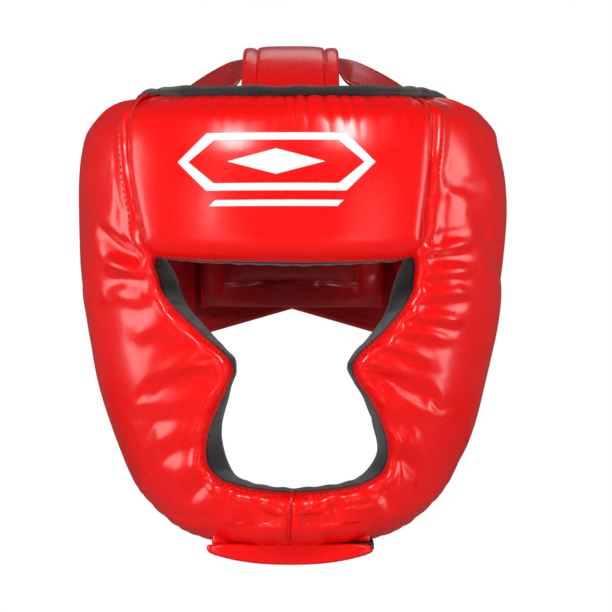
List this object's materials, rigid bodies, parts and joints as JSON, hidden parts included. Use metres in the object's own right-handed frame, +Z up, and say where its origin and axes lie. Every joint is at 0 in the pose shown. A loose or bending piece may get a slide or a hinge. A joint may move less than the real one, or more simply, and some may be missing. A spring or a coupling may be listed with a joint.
{
  "type": "boxing headgear",
  "caption": "Padded closed-face boxing headgear with cheek and chin protection, a crown strap, crossing rear closures and an under-chin strap.",
  "frame": {"origin": "middle of the head cavity at eye level, where the wearer's head sits", "axes": "+Z up, -Y the way the wearer faces, +X to the right of somebody in front"},
  "size_m": [0.2364, 0.2557, 0.2789],
  "materials": {
    "red_cover_leather": "gloss",
    "red_strap_leather": "gloss",
    "red_welt": "satin",
    "black_lining": "matt",
    "black_tape": "woven",
    "foam": "matt",
    "hook_and_loop": "matt",
    "white_print": "matt"
  },
  "bodies": {
    "shell": {"forehead_cover": "red_cover_leather", "forehead_foam": "foam", "forehead_lining": "black_lining", "right_seam_welt": "red_welt", "left_seam_welt": "red_welt", "right_side_foam": "foam", "right_side_cover": "red_cover_leather", "right_side_lining": "black_lining", "right_ear_binding": "black_tape", "left_side_foam": "foam", "left_side_cover": "red_cover_leather", "left_side_lining": "black_lining", "left_ear_binding": "black_tape", "chin_seam_welt": "red_welt", "top_binding": "black_tape", "rim_gather": "red_cover_leather", "face_binding": "black_tape", "print_hexagon": "white_print", "print_lozenge": "white_print", "print_bar": "white_print", "crown_strap": "red_strap_leather", "crown_panel": "red_cover_leather", "right_cross_strap": "red_strap_leather", "left_cross_strap": "red_strap_leather", "crown_spacer": "red_strap_leather", "crown_tongue": "red_strap_leather", "crown_loop_patch": "hook_and_loop", "rear_pad_foam": "foam", "rear_pad_cover": "red_strap_leather", "rear_pad_lining": "red_strap_leather", "chin_strap_mount": "red_cover_leather", "chin_loop_patch": "hook_and_loop"},
    "right_wing": {"right_rear_wing": "red_strap_leather", "wing_hook_patch": "hook_and_loop"},
    "left_wing": {"left_rear_wing": "red_strap_leather", "wing_loop_patch": "hook_and_loop"},
    "crown_tail_flap": {"crown_tail": "red_strap_leather", "crown_hook_patch": "hook_and_loop"},
    "chin_strap_flap": {"chin_strap": "red_cover_leather", "chin_cup_pad": "red_cover_leather", "chin_hook_patch": "hook_and_loop"}
  },
  "joints": [
    {"name": "right_wing_hinge", "type": "hinge", "parent": "shell", "child": "right_wing", "pos_m": [0.0969, 0.0582, 0.013], "axis": [0, 0, -1], "range_deg": [0, 60]},
    {"name": "left_wing_hinge", "type": "hinge", "parent": "shell", "child": "left_wing", "pos_m": [-0.08829, 0.0582, 0.013], "axis": [0, 0, 1], "range_deg": [0, 25]},
    {"name": "crown_tail_hinge", "type": "hinge", "parent": "shell", "child": "crown_tail_flap", "pos_m": [0, 0.0302, 0.13646], "axis": [1, 0, 0], "range_deg": [0, 70]},
    {"name": "chin_strap_hinge", "type": "hinge", "parent": "shell", "child": "chin_strap_flap", "pos_m": [-0.044, -0.074, -0.1306], "axis": [0, 1, 0], "range_deg": [0, 75]}
  ],
  "couplings": [
    {"joint": "left_wing_hinge", "follows": "right_wing_hinge", "ratio": 0.4}
  ]
}
